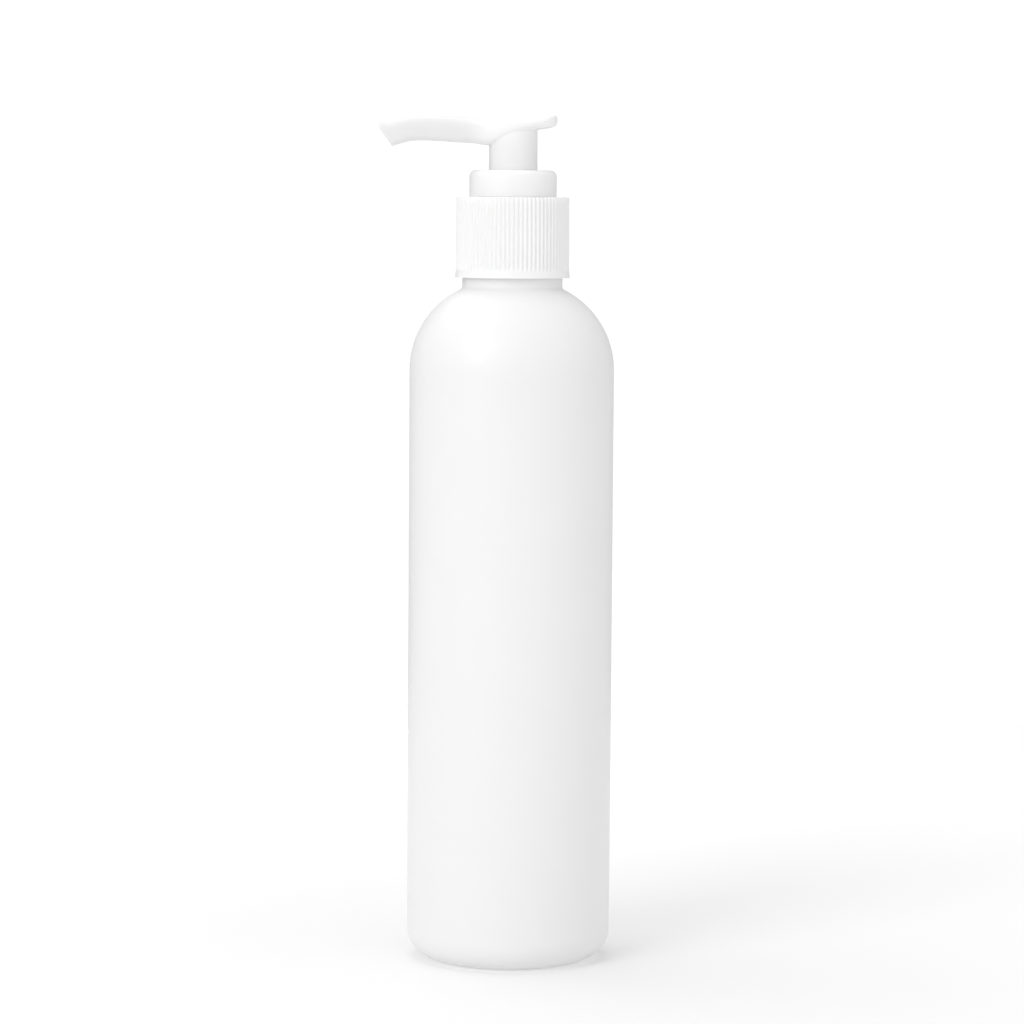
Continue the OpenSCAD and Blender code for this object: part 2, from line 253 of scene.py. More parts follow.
def find(sockets, key):
    """A socket by its place, its identifier or its name."""
    if isinstance(key, int):
        return sockets[key]
    for socket in sockets:
        if socket.identifier == key:
            return socket
    return sockets[key]


class Net:
    """A node tree with one method that makes its nodes."""

    def __init__(self, tree):
        self.tree = tree

    def add(self, kind, settings=None, sockets=None, out=0):
        node = self.tree.nodes.new(kind)
        for name, value in (settings or {}).items():
            setattr(node, name, value)
        for key, value in (sockets or {}).items():
            socket = find(node.inputs, key)
            if isinstance(value, Wire):
                self.tree.links.new(value.socket, socket)
            else:
                socket.default_value = value
        return Wire(self, find(node.outputs, out)) if len(node.outputs) else None


# ---------------------------------------------------------------- materials

def grey(level):
    return (level, level, level, 1.0)


def new_material(name):
    material = bpy.data.materials.new(name)
    material.use_nodes = True
    material.node_tree.nodes.clear()
    return material, Net(material.node_tree)


def noise(net, place, scale, detail=2.0, rough=0.5):
    return net.add("ShaderNodeTexNoise", None,
                   {"Vector": place, "Scale": scale, "Detail": detail, "Roughness": rough})


def stretched(net, place, scale):
    return net.add("ShaderNodeMapping", None, {"Vector": place, "Scale": scale})


def between(net, factor, low, high):
    """A colour from low to high."""
    return net.add("ShaderNodeMix", {"data_type": "RGBA"},
                   {"Factor_Float": factor, "A_Color": low, "B_Color": high}, "Result_Color")


def finish_material(net, constants, colour, roughness, height, depth):
    """Principled shader with a bump of the given depth."""
    bump = net.add("ShaderNodeBump", None, {"Height": height, "Strength": 1.0, "Distance": depth})
    sockets = {"Base Color": colour, "Roughness": roughness, "Normal": bump}
    sockets.update(constants)
    shader = net.add("ShaderNodeBsdfPrincipled", None, sockets)
    net.add("ShaderNodeOutputMaterial", None, {"Surface": shader})


def moulded(name, tone, shade, gloss, peel, marks, milk, cast=(1.0, 1.0, 1.0), painted_shade=None):
    """Opaque moulded polymer: a faint cast of colour, orange peel, flow streaks along Z, soft rubs and,
    if given, a painted shade. tone is its grey, shade how much darker its thin patches are, gloss its
    roughness, peel the depth of its orange peel, marks the strength of streaks and rubs, milk how much
    light goes into it.
    painted_shade is an axis, where along it a painted shade begins and ends to darken the tone, and the
    share of the tone that is left."""
    material, net = new_material(name)
    place = net.add("ShaderNodeTexCoord", None, None, "Object")
    clouds = noise(net, place, 55.0, 3.0)
    grain = noise(net, place, 1700.0, 2.0)
    waves = noise(net, place, 240.0, 1.0)
    flow = noise(net, stretched(net, place, (700.0, 700.0, 14.0)), 1.0, 1.0)
    rubs = noise(net, stretched(net, place, (70.0, 70.0, 700.0)), 1.0, 1.0).ramp(0.4, 0.9)
    worn = noise(net, place, 90.0, 2.0).ramp(0.4, 0.9)
    light = tuple(tone * c for c in cast) + (1.0,)
    dark = tuple((tone - shade) * c for c in cast) + (1.0,)
    colour = between(net, clouds.ramp(0.3, 0.7) * (1.0 - 0.4 * marks) + flow * (0.4 * marks), light, dark)
    # Painted shade: along one axis the tone is painted darker, standing in for shade that the lamps don't
    # give.
    if painted_shade:
        axis, begin, end, left = painted_shade
        along = net.add("ShaderNodeSeparateXYZ", None, {0: place}, axis).ramp(begin, end)
        colour = between(net, along, colour, tuple(tone * left * c for c in cast) + (1.0,))
    marking = (flow - 0.5) * 0.04 + rubs * worn * 0.08
    roughness = (gloss + (clouds - 0.5) * 0.08 + marking * marks).clamped()
    height = waves * 0.7 + grain * 0.08 + flow * (0.2 * marks)
    constants = {"IOR": 1.5, "Subsurface Weight": milk, "Subsurface Scale": MILK_DEPTH,
                 "Subsurface Radius": (1.0, 1.0, 1.0)}
    finish_material(net, constants, colour, roughness, height, peel)
    return material


def bright_steel(name):
    """Drawn stainless wire and polished valve balls."""
    material, net = new_material(name)
    place = net.add("ShaderNodeTexCoord", None, None, "Object")
    drawn = noise(net, place, 2200.0, 3.0)
    patches = noise(net, place, 420.0, 2.0)
    colour = between(net, patches, (0.74, 0.75, 0.77, 1.0), (0.62, 0.63, 0.65, 1.0))
    roughness = (0.17 + drawn * 0.12 + patches * 0.08).clamped()
    finish_material(net, {"Metallic": 1.0}, colour, roughness, drawn, 0.000002)
    return material


def cell_foam(name):
    """Closed-cell foam of the gasket."""
    material, net = new_material(name)
    place = net.add("ShaderNodeTexCoord", None, None, "Object")
    cells = net.add("ShaderNodeTexVoronoi", None, {"Vector": place, "Scale": 3200.0})
    tint = noise(net, place, 300.0)
    colour = between(net, cells * 0.5 + tint * 0.5, (0.88, 0.88, 0.87, 1.0), (0.74, 0.74, 0.73, 1.0))
    roughness = (0.62 + cells * 0.25).clamped()
    finish_material(net, {"Sheen Weight": 0.1}, colour, roughness, cells, 0.00003)
    return material


def studio_floor(name):
    """Pale paper that glows though no lamp is under it: painted light. Its glow is lowest next to the
    bottle, a painted shadow round it, rises towards its rim, and is highest right under the bottle, a
    painted light on the base's edge.
    """
    material, net = new_material(name)
    place = net.add("ShaderNodeTexCoord", None, None, "Object")
    fibres = noise(net, place, 900.0, 4.0)
    reach = net.add("ShaderNodeVectorMath", {"operation": "LENGTH"}, {0: place}, "Value")
    # Painted shadow: the glow is lowest next to the bottle and rises towards the rim.
    rim = reach.ramp(BODY_R, FLOOR_R * 0.6)
    colour = between(net, fibres, grey(0.77), grey(0.79))
    painted_glow = between(net, rim, grey(FLOOR_PAINTED_GLOW), grey(FLOOR_RIM_PAINTED_GLOW))
    # Painted light: more glow right under the bottle lights the base's edge from below.
    under = reach.ramp(BODY_R - 0.001, BODY_R - 0.005)
    painted_glow = between(net, under, painted_glow, grey(UNDER_BOTTLE_PAINTED_LIGHT))
    roughness = (0.72 + fibres * 0.1).clamped()
    lit = {"Specular IOR Level": 0.2, "Emission Color": painted_glow, "Emission Strength": 1.0}
    finish_material(net, lit, colour, roughness, fibres, 0.00001)
    return material


# ---------------------------------------------------------------- outlines

def arc(centre_r, centre_z, radius, start, end, steps):
    """Points along an arc of an outline, from one angle to another, in degrees."""
    angles = [math.radians(start + (end - start) * i / steps) for i in range(steps + 1)]
    return [(centre_r + radius * math.cos(a), centre_z + radius * math.sin(a)) for a in angles]


def fillet(before, corner, after, radius, step=math.radians(9)):
    """Points of the round that replaces one corner of an outline."""
    corner = Vector(corner)
    one = (Vector(before) - corner).normalized()
    two = (Vector(after) - corner).normalized()
    half = one.angle(two) / 2
    reach = radius / math.tan(half)
    centre = corner + (one + two).normalized() * (radius / math.sin(half))
    start = corner + one * reach - centre
    end = corner + two * reach - centre
    turn = start.angle_signed(end)
    count = max(2, math.ceil(abs(turn) / step))
    points = []
    for i in range(count + 1):
        a = -turn * i / count
        turned_arm = Vector((start.x * math.cos(a) - start.y * math.sin(a),
                             start.x * math.sin(a) + start.y * math.cos(a)))
        points.append(tuple(centre + turned_arm))
    return points


def rounded(corners):
    """An outline through (r, z, round) corners."""
    points = []
    for i, (r, z, radius) in enumerate(corners):
        if radius <= 0 or i in (0, len(corners) - 1):
            points.append((r, z))
        else:
            points += fillet(corners[i - 1][:2], (r, z), corners[i + 1][:2], radius)
    return points


def held(points, margin=0.0003, longest=0.002):
    """Adds a point near both ends of each long straight stretch, so that shading stays flat there."""
    out = [points[0]]
    for a, b in zip(points, points[1:]):
        span = math.dist(a, b)
        if span > longest:
            for t in (margin / span, 1 - margin / span):
                out.append((a[0] + (b[0] - a[0]) * t, a[1] + (b[1] - a[1]) * t))
        out.append(b)
    return out


# ---------------------------------------------------------------- geometry node trees

def group_tree(name, inputs):
    """An empty geometry tree with a mesh input, named inputs and a geometry output."""
    tree = bpy.data.node_groups.new(name, "GeometryNodeTree")
    tree.interface.new_socket("Mesh", in_out="INPUT", socket_type="NodeSocketGeometry")
    for label, kind in inputs:
        tree.interface.new_socket(label, in_out="INPUT", socket_type="NodeSocket" + kind)
    tree.interface.new_socket("Geometry", in_out="OUTPUT", socket_type="NodeSocketGeometry")
    net = Net(tree)
    return tree, net, net.add("NodeGroupInput")


def end_tree(net, shape, material):
    """The last nodes of every tree."""
    real = net.add("GeometryNodeRealizeInstances", None, {"Geometry": shape})
    dressed = net.add("GeometryNodeSetMaterial", None, {"Geometry": real, "Material": material})
    net.add("NodeGroupOutput", None, {0: dressed})


TURNED_INPUTS = [("Segments", "Int"), ("Crowding", "Float"), ("Outer Points", "Int"),
                 ("Seam Height", "Float"), ("Seam Width", "Float"), ("Pinch Height", "Float"),
                 ("Pinch Width", "Float"), ("Pinch Reach", "Float"), ("Ribs", "Int"),
                 ("Rib Floor", "Float"), ("Rib Low", "Float"), ("Rib Fade", "Float"),
                 ("Material", "Material")]


def turned_tree():
    """Turns an outline round Z. Its outer side can carry a parting line, a pinch-off line and ribs."""
    tree, net, given = group_tree("turned_shell", TURNED_INPUTS)
    segments = given.pick("Segments")
    points = net.add("GeometryNodeAttributeDomainSize", None, {"Geometry": given}, "Point Count")
    grid = net.add("GeometryNodeMeshGrid", None,
                   {"Size X": 1.0, "Size Y": 1.0, "Vertices X": points, "Vertices Y": segments + 1.0})
    index = net.add("GeometryNodeInputIndex")
    row = (index / (segments + 1.0)).math("FLOOR")
    turn = (index - row * (segments + 1.0)) / segments
    place = net.add("GeometryNodeInputPosition")
    spot = net.add("GeometryNodeSampleIndex", {"data_type": "FLOAT_VECTOR", "domain": "POINT"},
                   {"Geometry": given, "Value": place, "Index": row})
    split = net.add("ShaderNodeSeparateXYZ", None, {0: spot})
    radius, level = split.pick("X"), split.pick("Z")
    full = 2 * math.pi
    crowd = (turn * (2 * full)).math("SINE") * given.pick("Crowding") / (2 * full)
    angle = (turn - crowd) * full
    outer = row.math("LESS_THAN", given.pick("Outer Points"))
    across = (radius * angle.math("SINE")).math("ABSOLUTE")
    seam = bell(across, given.pick("Seam Width")) * given.pick("Seam Height") * outer
    wave = (angle * given.pick("Ribs")).math("COSINE") * 0.5 + 0.5
    low = given.pick("Rib Low")
    fade = level.ramp(low, low + given.pick("Rib Fade"))
    groove = (1.0 - wave) * (radius - given.pick("Rib Floor")).math("MAXIMUM", 0.0) * fade * outer
    ribbed = groove * given.pick("Ribs").math("GREATER_THAN", 0.5)
    reach = given.pick("Pinch Reach")
    near = 1.0 - radius.ramp(reach * 0.85, reach)
    pinch = bell(across, given.pick("Pinch Width")) * given.pick("Pinch Height") * near * outer
    final = radius + seam - ribbed
    moved = net.add("ShaderNodeCombineXYZ", None, {"X": final * angle.math("COSINE"),
                                                   "Y": final * angle.math("SINE"), "Z": level - pinch})
    shaped = net.add("GeometryNodeSetPosition", None, {"Geometry": grid, "Position": moved})
    joined = net.add("GeometryNodeMergeByDistance", None, {"Geometry": shaped, "Distance": 1e-6})
    end_tree(net, joined, given.pick("Material"))
    return tree


def bell(value, width):
    """1 at value 0, falling smoothly to nothing over the width."""
    part = value / width
    return (part * part * -1.0).math("EXPONENT")


WOUND_INPUTS = [("Turns", "Float"), ("Radius", "Float"), ("Low", "Float"), ("Rise", "Float"),
                ("Closed Ends", "Float"), ("Run Out", "Float"), ("Steps Per Turn", "Float"),
                ("Material", "Material")]


def wound_tree():
    """Sweeps a cross-section along a helix round Z, for threads and springs. Closed Ends is the share
    of the winding at each end that lies flat, and Run Out the share over which the section fades."""
    tree, net, given = group_tree("wound_section", WOUND_INPUTS)
    section = net.add("GeometryNodeMeshToCurve", None, {"Mesh": given})
    line = net.add("GeometryNodeCurvePrimitiveLine")
    count = given.pick("Turns") * given.pick("Steps Per Turn") + 1.0
    path = net.add("GeometryNodeResampleCurve", None, {"Curve": line, "Count": count})
    along = net.add("GeometryNodeSplineParameter", None, None, "Factor")
    angle = along * given.pick("Turns") * (2 * math.pi)
    ends = given.pick("Closed Ends")
    rise = along.ramp(ends, 1.0 - ends, "LINEAR") * given.pick("Rise") + given.pick("Low")
    radius = given.pick("Radius")
    place = net.add("ShaderNodeCombineXYZ", None,
                    {"X": radius * angle.math("COSINE"), "Y": radius * angle.math("SINE"), "Z": rise})
    moved = net.add("GeometryNodeSetPosition", None, {"Geometry": path, "Position": place})
    upright = net.add("GeometryNodeSetCurveNormal", {"mode": "Z_UP"}, {"Curve": moved})
    run = given.pick("Run Out").math("MAXIMUM", 0.0001)
    size = (along / run).clamped().math("MINIMUM", ((1.0 - along) / run).clamped(0.02))
    swept = net.add("GeometryNodeCurveToMesh", None,
                    {"Curve": upright, "Profile Curve": section, "Fill Caps": True,
                     "Scale": size.clamped(0.02)})
    end_tree(net, swept, given.pick("Material"))
    return tree


def made_by(tree, name, seed, values):
    """A plain mesh object: the tree's result on a seed mesh, with the modifier gone."""
    host = bpy.data.objects.new(name, seed)
    bpy.context.scene.collection.objects.link(host)
    modifier = host.modifiers.new("shape", "NODES")
    modifier.node_group = tree
    sockets = {s.name: s for s in tree.interface.items_tree if s.in_out == "INPUT"}
    for label, value in values.items():
        modifier[sockets[label].identifier] = value
    return settle(host)


def settle(piece):
    """Turns a piece's modifiers into its plain mesh."""
    bpy.context.view_layer.update()
    graph = bpy.context.evaluated_depsgraph_get()
    mesh = bpy.data.meshes.new_from_object(piece.evaluated_get(graph), depsgraph=graph)
    piece.modifiers.clear()
    piece.data = mesh
    mesh.name = piece.name
    return piece


def line_mesh(points, closed=False):
    """A mesh of points (r, z) joined by edges, in the XZ plane, or in the XY plane where it closes."""
    mesh = bpy.data.meshes.new("outline")
    edges = [(i, i + 1) for i in range(len(points) - 1)]
    if closed:
        edges.append((len(points) - 1, 0))
        mesh.from_pydata([(x, y, 0.0) for x, y in points], edges, [])
    else:
        mesh.from_pydata([(r, 0.0, z) for r, z in points], edges, [])
    return mesh


def turned(name, outer, inner, material, segments, **extra):
    """A closed turned piece from its outer and its inner outline."""
    outer = held(outer)
    inner = held(inner)
    values = {"Segments": segments, "Crowding": 0.0, "Outer Points": len(outer), "Seam Height": 0.0,
              "Seam Width": 1.0, "Pinch Height": 0.0, "Pinch Width": 1.0, "Pinch Reach": 0.001,
              "Ribs": 0, "Rib Floor": 1.0, "Rib Low": 0.0, "Rib Fade": 0.001, "Material": material}
    values.update(extra)
    return outward(made_by(TREES["turned"], name, line_mesh(outer + inner), values))


def outward(piece):
    """Turns every face of a closed piece outwards."""
    mesh = piece.data
    volume = 0.0
    mesh.calc_loop_triangles()
    for t in mesh.loop_triangles:
        a, b, c = (mesh.vertices[i].co for i in t.vertices)
        volume += a.dot(b.cross(c))
    if volume < 0:
        mesh.flip_normals()
    return piece


def smooth(piece, angle=40.0):
    """Smooth shading with the edges sharper than the angle kept."""
    mesh = piece.data
    mesh.polygons.foreach_set("use_smooth", [True] * len(mesh.polygons))
    mesh.set_sharp_from_angle(angle=math.radians(angle))
    return piece


def combine(piece, other, operation):
    """Boolean of two closed pieces. The second one is used up."""
    modifier = piece.modifiers.new("cut", "BOOLEAN")
    modifier.operation = operation
    modifier.object = other
    modifier.solver = "EXACT"
    settle(piece)
    bpy.data.objects.remove(other)
    return piece


TREES = {"turned": turned_tree(), "wound": wound_tree()}

FINISHES = {
    # The bottle's tone is painted darker towards the bottom: painted shade.
    "bottle": moulded("satin_polyethylene", 0.90, 0.012, 0.40, 0.000030, 0.50, 0.25,
                      painted_shade=("Z", 0.15, 0.0, 0.94)),
    "closure": moulded("satin_polypropylene", 0.93, 0.010, 0.35, 0.000008, 0.15, 0.25),
    "collar": moulded("collar_polypropylene", 0.92, 0.008, 0.32, 0.000008, 0.10, 0.30),
    # The head's tone is painted darker towards the spout: painted shade.
    "head": moulded("head_polypropylene", 0.92, 0.008, 0.32, 0.000008, 0.10, 0.30,
                    painted_shade=("X", -0.004, -0.012, 0.87)),
    "pump": moulded("natural_polypropylene", 0.86, 0.030, 0.38, 0.000012, 0.50, 0.45, (1.0, 1.0, 0.985)),
    "piston": moulded("soft_polyethylene", 0.88, 0.030, 0.45, 0.000015, 0.30, 0.35, (1.0, 0.99, 0.93)),
    "tube": moulded("tube_polyethylene", 0.84, 0.040, 0.36, 0.000020, 1.00, 0.55, (0.98, 1.0, 1.0)),
    "foam": cell_foam("gasket_foam"),
    "steel": bright_steel("bright_steel"),
}


# ---------------------------------------------------------------- pieces

def ridge_section(foot, crest, depth):
    """Closed trapezoid of a thread, its foot sunk 0.1 mm into the wall."""
    sink = math.copysign(0.0001, depth)
    return [(-sink, -foot / 2), (depth, -crest / 2), (depth, crest / 2), (-sink, foot / 2)]


def wound(name, section, material, radius, low, rise, turns, ends, run_out, steps):
    """A closed section wound round Z, as a plain mesh."""
    values = {"Turns": turns, "Radius": radius, "Low": low, "Rise": rise, "Closed Ends": ends,
              "Run Out": run_out, "Steps Per Turn": steps, "Material": material}
    return outward(made_by(TREES["wound"], name, line_mesh(section, closed=True), values))


def make_bottle():
    """Blow-moulded shell with its screw neck."""
    material = FINISHES["bottle"]
    steps = [i / DOME_STEPS for i in range(DOME_STEPS)]
    dome = [(DOME_R * t, PUSH_UP * (1 - 0.5 * t ** 2)) for t in steps]
    outer = dome + rounded([
        dome[-1] + (0,), (DOME_R, PUSH_UP / 2, 0.0008), (RING_R, 0.0, SOFT_EDGE),
        (BODY_R, 0.0, BASE_CORNER_R), (BODY_R, WALL_TOP - 0.001, 0)])[1:]
    end = math.degrees(math.acos((BEAD_R + NECK_LIP - SHOULDER_X) / SHOULDER_R))
    outer += arc(SHOULDER_X, WALL_TOP, SHOULDER_R, 0, end, 28)
    outer += rounded([
        outer[-1] + (0,), (BEAD_R, SHOULDER_TOP + 0.0002, 0), (BEAD_R, BEAD_TOP, NECK_LIP),
        (THREAD_ROOT_R, BEAD_TOP, NECK_LIP), (THREAD_ROOT_R, NECK_TOP, NECK_LIP),
        (NECK_BORE_R, NECK_TOP, 0)])[1:]
    bore_low = WALL_TOP + math.sqrt((SHOULDER_R - WALL) ** 2 - (NECK_BORE_R - SHOULDER_X) ** 2)
    inner = [(NECK_BORE_R, NECK_TOP - NECK_LIP), (NECK_BORE_R, bore_low)]
    inner += arc(SHOULDER_X, WALL_TOP, SHOULDER_R - WALL, 73, 0, 20)
    inner += rounded([
        (BODY_R - WALL, WALL_TOP - 0.001, 0), (BODY_R - WALL, WALL, BASE_CORNER_R - WALL),
        (RING_R, WALL, SOFT_EDGE), (DOME_R, WALL + PUSH_UP / 2, 0.003), (0.0, WALL + PUSH_UP, 0)])
    shell = turned("bottle_shell", outer, inner, material, 240, Crowding=0.85,
                   **{"Seam Height": PARTING_H, "Seam Width": PARTING_W, "Pinch Height": PINCH_H,
                      "Pinch Width": PINCH_W, "Pinch Reach": PINCH_REACH})
    thread = wound("neck_thread", ridge_section(THREAD_FOOT_W, THREAD_CREST_W, THREAD_DEPTH), material,
                   THREAD_ROOT_R, THREAD_Z, PITCH * TURNS, TURNS, 0.0, RUN_OUT, THREAD_STEPS)
    combine(shell, thread, "UNION")
    smooth(shell, 38)
    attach(shell, "bottle")
    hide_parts("bottle")
    return shell


def make_closure():
    """Ribbed screw closure."""
    material = FINISHES["closure"]
    low, top = CLOSURE_LOW.z, CLOSURE_HIGH.z
    outer = rounded([
        (NUT_BORE_R, low, 0), (LIP_R, low, 0.00015), (RIB_LOW_R, low + LIP_H, 0.001),
        (RIB_TOP_R, top, 0.00045), (TOP_HOLE_R, top, 0.0002)])
    fades = [(RIB_LOW_R, low + LIP_H + FADE_STEP * i) for i in range(1, 9)]
    place = next(i for i, p in enumerate(outer) if p[1] > fades[-1][1])
    outer = [p for p in outer[:place] if p[1] < fades[0][1]] + fades + outer[place:]
    plate = top - TOP_PLATE
    inner = rounded([
        (TOP_HOLE_R, plate + 0.0002, 0), (TOP_HOLE_R, plate, 0.0001), (NUT_BORE_R, plate, 0.0003),
        (NUT_BORE_R, low + 0.0001, 0)])
    shell = turned("ribbed_closure", outer, inner + [outer[0]], material, RIBS * 10,
                   **{"Ribs": RIBS, "Rib Floor": RIB_FLOOR_R, "Rib Low": low + LIP_H,
                      "Rib Fade": RIB_FADE})
    thread = wound("closure_thread", ridge_section(NUT_FOOT_W, NUT_CREST_W, -NUT_DEPTH), material,
                   NUT_BORE_R, NUT_Z, PITCH * TURNS, TURNS, 0.0, RUN_OUT, THREAD_STEPS)
    combine(shell, thread, "UNION")
    smooth(shell, 50)
    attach(shell, "closure")
    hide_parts("closure")
    return shell


def make_collar():
    """Smooth collar with the head's guide sleeve inside."""
    sleeve_low = COLLAR_LOW.z
    shoulder_r, shoulder_z = COLLAR_R - COLLAR_ROUND_W, COLLAR_TOP - COLLAR_ROUND_H
    outer = rounded([
        (POCKET_R, COLLAR_Z, 0), (COLLAR_R, COLLAR_Z, 0.00008), (COLLAR_R, shoulder_z, 0)])
    outer += [(shoulder_r + COLLAR_ROUND_W * math.cos(a), shoulder_z + COLLAR_ROUND_H * math.sin(a))
              for a in (math.radians(7.5 * i) for i in range(1, 13))]
    outer += rounded([
        outer[-1] + (0,), (COLLAR_HOLE_R, COLLAR_TOP, 0.0003), (COLLAR_HOLE_R, sleeve_low + WEB, 0.0003),
        (WEB_HOLE_R, sleeve_low + WEB, 0)])[1:]
    plate_z = COLLAR_TOP - COLLAR_PLATE
    inner = rounded([
        (WEB_HOLE_R, sleeve_low, 0), (SLEEVE_R, sleeve_low, 0.0002), (SLEEVE_R, plate_z, 0.0003),
        (POCKET_R, plate_z, 0.0003), (POCKET_R, COLLAR_Z, 0)])
    ring = smooth(turned("smooth_collar", outer, inner[:-1] + [outer[0]], FINISHES["collar"], 192), 40)
    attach(ring, "pump")
    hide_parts("collar")
    return ring


def spline(rows, s):
    """Smooth row between the rows of a table, at a place counted in rows."""
    last = len(rows) - 1
    k = min(int(s), last - 1)
    t = s - k
    a, b, c, d = rows[max(k - 1, 0)], rows[k], rows[k + 1], rows[min(k + 2, last)]
    return [0.5 * (2 * q + (r - p) * t + (2 * p - 5 * q + 4 * r - u) * t ** 2
                   + (3 * q - p - 3 * r + u) * t ** 3) for p, q, r, u in zip(a, b, c, d)]


def head_ring(row, sides):
    """Points round one section of the head. Its widest line lies half way up the spout and near the
    finger rest's rim, and the rest is dished between its rims."""
    x, low, high, half, dish, flat = row
    widest = low + (high - low) * (0.5 + REST_WIDEST * flat)
    over = SPOUT_POWER + REST_TOP_POWER * flat
    under = SPOUT_POWER - REST_UNDER_POWER * flat
    points = []
    for i in range(sides):
        a = 2 * math.pi * i / sides
        square = over if math.sin(a) > 0 else under
        y = math.copysign(abs(math.cos(a)) ** (2 / square), math.cos(a))
        z = abs(math.sin(a)) ** (2 / square)
        sunk = dish * (1 - y * y) ** 2
        level = widest + (high - widest) * z - sunk if math.sin(a) > 0 else widest - (widest - low) * z
        points.append((x, half * y, COLLAR_TOP + level))
    return points


def loft(name, rings, material):
    """Closed solid through rings of points."""
    n = len(rings[0])
    points = [p for ring in rings for p in ring]
    faces = [(i * n + j, i * n + (j + 1) % n, (i + 1) * n + (j + 1) % n, (i + 1) * n + j)
             for i in range(len(rings) - 1) for j in range(n)]
    faces.append(tuple(reversed(range(n))))
    faces.append(tuple(range(len(points) - n, len(points))))
    mesh = bpy.data.meshes.new(name)
    mesh.from_pydata(points, [], faces)
    mesh.materials.append(material)
    piece = bpy.data.objects.new(name, mesh)
    bpy.context.scene.collection.objects.link(piece)
    return outward(piece)


def rod(name, start, end, radius, material, sides=64):
    """A plain closed rod between two points, to add or to cut with."""
    start, end = Vector(start), Vector(end)
    along = (end - start).normalized()
    turn = along.to_track_quat("Z", "Y").to_matrix()
    circle = [(radius * math.cos(2 * math.pi * i / sides), radius * math.sin(2 * math.pi * i / sides))
              for i in range(sides)]
    rings = [[tuple(centre + turn @ Vector((x, y, 0.0))) for x, y in circle] for centre in (start, end)]
    return loft(name, rings, material)


def make_head():
    """Actuator head: spout, finger rest and skirt in one moulding."""
    material = FINISHES["head"]
    fine = 6
    rows = [spline(STATIONS, i / fine) for i in range((len(STATIONS) - 1) * fine + 1)]
    head = loft("actuator_head_shell", [head_ring(row, 72) for row in rows], material)
    drop = TIP_CUT_TOP - TIP_CUT_Z
    run = TIP_CUT_X - HEAD_LOW.x
    wide = 0.01
    corners = [(HEAD_LOW.x - run, TIP_CUT_TOP + drop), (TIP_CUT_X + run, TIP_CUT_Z - drop),
               (HEAD_LOW.x - 4 * run, TIP_CUT_Z - drop)]
    wedge = loft("wedge", [[(x, side * wide, z) for x, z in corners] for side in (-1, 1)], material)
    combine(head, wedge, "DIFFERENCE")
    skirt = turned("skirt", rounded([
        (0.0, HEAD_LOW.z, 0), (SKIRT_FOOT_R, HEAD_LOW.z, 0.0002), (SKIRT_R, SKIRT_JOIN, 0),
        (0.0, SKIRT_JOIN, 0)]), [(0.0, SKIRT_CONE_TOP)], material, 128)
    combine(head, skirt, "UNION")
    below = HEAD_LOW.z - BORE_SPARE
    hollow = turned("hollow", [(BOSS_R, below), (SKIRT_BORE_R, below), (SKIRT_BORE_R, SKIRT_ROOF),
                               (BOSS_R, SKIRT_ROOF)], [(BOSS_R, below)], material, 96)
    combine(head, hollow, "DIFFERENCE")
    bores = [("mouth", (0, 0, below), (0, 0, BOSS_Z), BOSS_R + 0.0001),
             ("socket", (0, 0, BOSS_Z - BORE_SPARE), (0, 0, STEM_HIGH.z), STEM_R),
             ("riser", (0, 0, STEM_HIGH.z - BORE_SPARE), (0, 0, SPOUT_Z), CHANNEL_R),
             ("spout", (0, 0, SPOUT_Z), (HEAD_LOW.x - 2 * BORE_SPARE, 0, SPOUT_Z), SPOUT_BORE_R)]
    for name, start, end, radius in bores:
        combine(head, rod(name, start, end, radius, material), "DIFFERENCE")
    ease = head.modifiers.new("ease", "BEVEL")
    ease.width = EDGE_ROUND
    ease.segments = 2
    ease.limit_method = "ANGLE"
    ease.angle_limit = math.radians(38)
    settle(head)
    smooth(head, 32)
    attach(head, "head")
    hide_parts("actuator_head")
    return head


def make_spring():
    """Compression spring with closed ends."""
    section = [(WIRE_R * math.cos(2 * math.pi * i / 12), WIRE_R * math.sin(2 * math.pi * i / 12))
               for i in range(12)]
    rise = SPRING_HIGH.z - SPRING_LOW.z - 2 * WIRE_R
    spring = wound("return_spring_wire", section, FINISHES["steel"], COIL_R, SPRING_LOW.z + WIRE_R, rise,
                   COILS + 1.5, 0.08, 0.0, 48)
    smooth(spring, 50)
    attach(spring, "pump")
    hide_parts("return_spring")
    stroke = next(j for j in frame["joints"] if j["name"] == "head_press")["range_m"][1]
    length = SPRING_HIGH.z - SPRING_LOW.z
    (length - stroke) / length
    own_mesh(spring)
    return spring


CARRIED = {"neck_gasket": "foam", "pump_housing": "pump", "stem": "pump", "stem_plug": "pump",
           "inlet_ball_cage": "pump", "piston": "piston", "dip_tube": "tube", "inlet_ball": "steel",
           "outlet_ball": "steel"}


def dress_inner_parts():
    """Gives the parts inside their own finishes."""
    for node, key in CARRIED.items():
        piece = frame["nodes"][node]
        piece.data.materials.clear()
        piece.data.materials.append(FINISHES[key])


# ---------------------------------------------------------------- studio

def make_camera():
    """Long lens at the height of the closure's top, looking slightly down."""
    data = bpy.data.cameras.new("front_camera")
    data.lens = CAMERA_LENS
    data.sensor_width = 36.0
    data.clip_end = 50.0
    camera = bpy.data.objects.new("front_camera", data)
    bpy.context.scene.collection.objects.link(camera)
    tilt = Matrix.Rotation(math.radians(90 - CAMERA_DOWN), 4, "X")
    roll = Matrix.Rotation(math.radians(CAMERA_ROLL), 4, "Z")
    camera.matrix_world = Matrix.Translation(CAMERA_PLACE) @ tilt @ roll
    bpy.context.scene.camera = camera


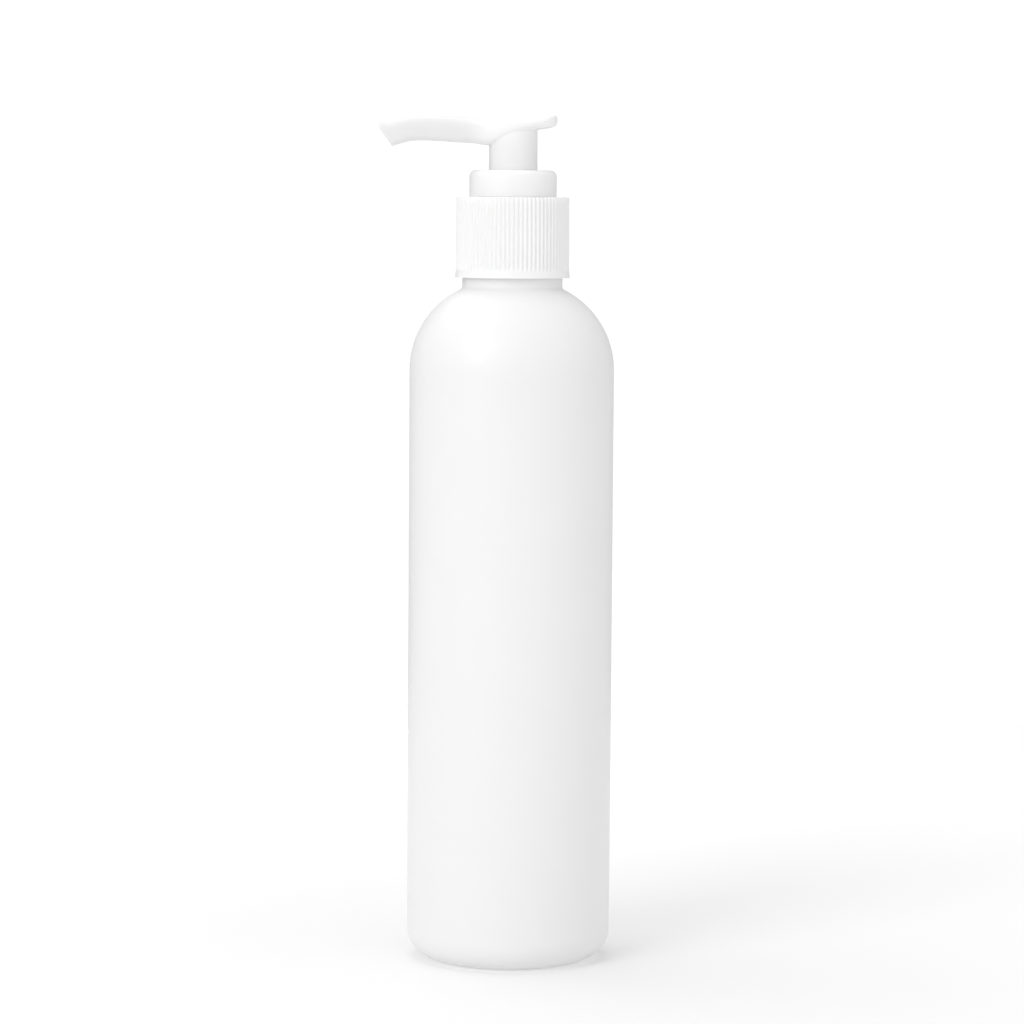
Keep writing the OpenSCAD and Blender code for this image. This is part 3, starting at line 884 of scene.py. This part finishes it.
def area_light(name, place, target, width, height, power):
    data = bpy.data.lights.new(name, "AREA")
    data.shape = "RECTANGLE"
    data.size = width
    data.size_y = height
    data.energy = power
    light = bpy.data.objects.new(name, data)
    bpy.context.scene.collection.objects.link(light)
    light.location = place
    light.rotation_euler = (Vector(target) - Vector(place)).to_track_quat("-Z", "Y").to_euler()
    return light


def make_floor():
    """Round sheet of paper that the bottle stands on."""
    sides = 128
    rim = [(FLOOR_R * math.cos(2 * math.pi * i / sides), FLOOR_R * math.sin(2 * math.pi * i / sides), 0.0)
           for i in range(sides)]
    mesh = bpy.data.meshes.new("studio_floor")
    mesh.from_pydata(rim, [], [tuple(range(sides))])
    mesh.materials.append(studio_floor("painted_glow_paper"))
    floor = bpy.data.objects.new("studio_floor", mesh)
    bpy.context.scene.collection.objects.link(floor)


def make_world():
    """White room, seen as an even white, that lights the object mostly from above and the right front."""
    world = bpy.data.worlds.new("white_room")
    bpy.context.scene.world = world
    world.use_nodes = True
    world.node_tree.nodes.clear()
    net = Net(world.node_tree)
    way = net.add("ShaderNodeTexCoord", None, None, "Generated")
    fill = ROOM_LEVEL
    for toward, strength in ROOM_LOBES:
        facing = net.add("ShaderNodeVectorMath", {"operation": "DOT_PRODUCT"}, {0: way, 1: toward}, "Value")
        facing = facing.math("MAXIMUM", 0.0)
        fill = facing * facing * strength + fill
    seen = net.add("ShaderNodeLightPath", None, None, "Is Camera Ray")
    strength = fill * (1.0 - seen) + seen * SEEN_WHITE
    light = net.add("ShaderNodeBackground", None, {"Color": (1, 1, 1, 1), "Strength": strength})
    net.add("ShaderNodeOutputWorld", None, {"Surface": light})


make_camera()
make_bottle()
make_closure()
make_collar()
make_head()
make_spring()
dress_inner_parts()
make_floor()
make_world()
area_light("key_softbox", (-0.75, -0.95, 0.75), (0, 0, 0.11), 0.7, 0.9, 6.3)
area_light("top_softbox", (-0.25, 0.3, 0.85), (0, 0, 0.05), 0.8, 0.8, 2.4)
bpy.context.scene.view_settings.view_transform = "Standard"
